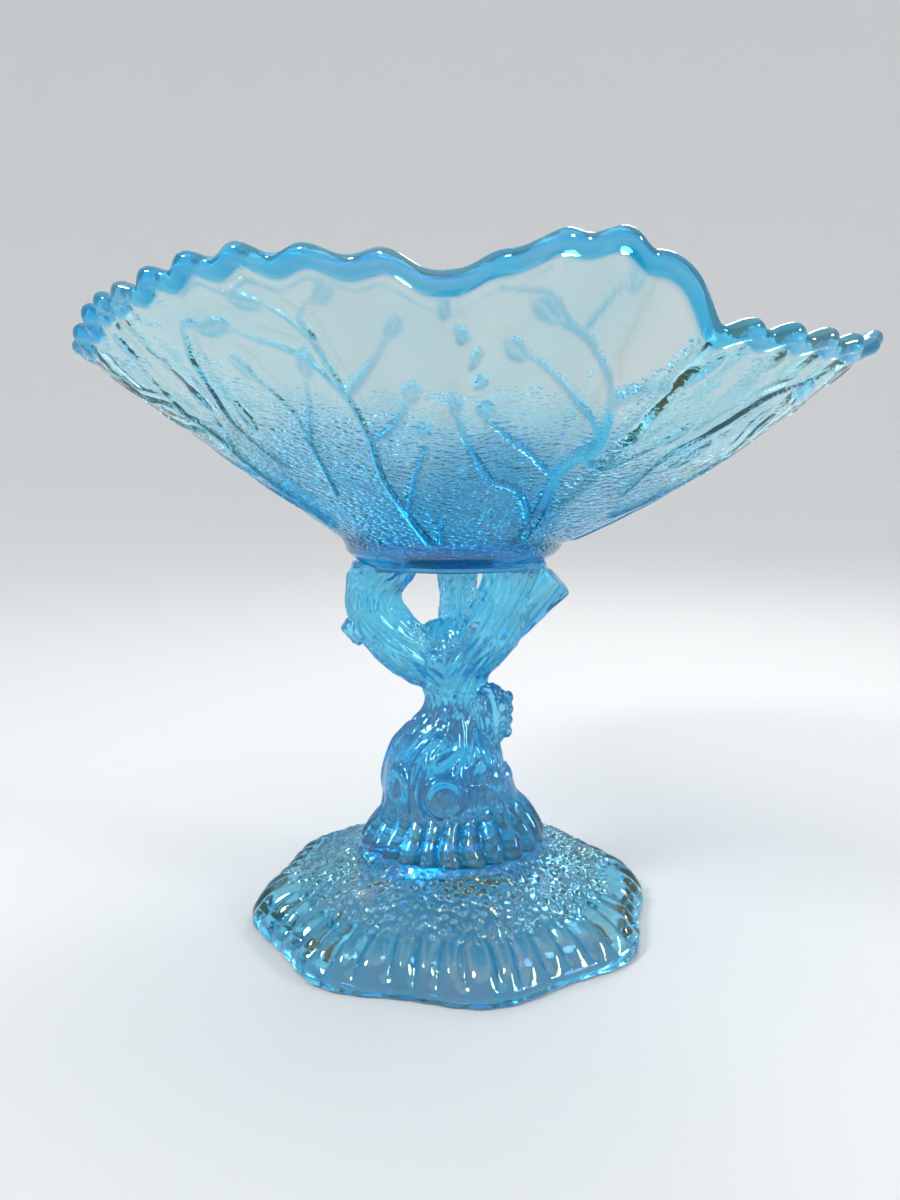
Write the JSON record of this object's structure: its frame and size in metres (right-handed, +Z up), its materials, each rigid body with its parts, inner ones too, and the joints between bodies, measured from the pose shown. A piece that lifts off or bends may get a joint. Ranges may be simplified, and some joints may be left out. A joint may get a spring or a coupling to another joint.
{
  "type": "footed glass compote",
  "caption": "Footed pressed-glass compote with a ruffled, scalloped bowl on a branching tree-trunk stem and a hollow domed foot.",
  "frame": {"origin": "centre of the standing face under the foot", "axes": "+Z up from the foot to the bowl, -Y is the front with the round knot, +X to the right with the sawn-off branch end"},
  "size_m": [0.2852, 0.2888, 0.2374],
  "materials": {
    "ice_blue_glass": "fire-polished, clear ice blue",
    "lustred_ice_blue_glass": "clear ice blue with a thin gold and green metallic lustre"
  },
  "bodies": {
    "root": {"root_skirt": "ice_blue_glass", "trunk_base": "ice_blue_glass", "trunk_neck": "ice_blue_glass", "trunk_fork": "ice_blue_glass", "front_knot": "ice_blue_glass", "left_knot": "ice_blue_glass", "side_burl": "ice_blue_glass", "burl_beads": "ice_blue_glass", "branch_left": "ice_blue_glass", "branch_left_twig": "ice_blue_glass", "branch_right": "ice_blue_glass", "branch_right_sawn_end": "ice_blue_glass", "branch_back": "ice_blue_glass", "collar": "ice_blue_glass", "foot_ring": "lustred_ice_blue_glass", "foot_dome": "lustred_ice_blue_glass", "bowl_wall": "lustred_ice_blue_glass", "bowl_rim": "lustred_ice_blue_glass"}
  },
  "joints": []
}
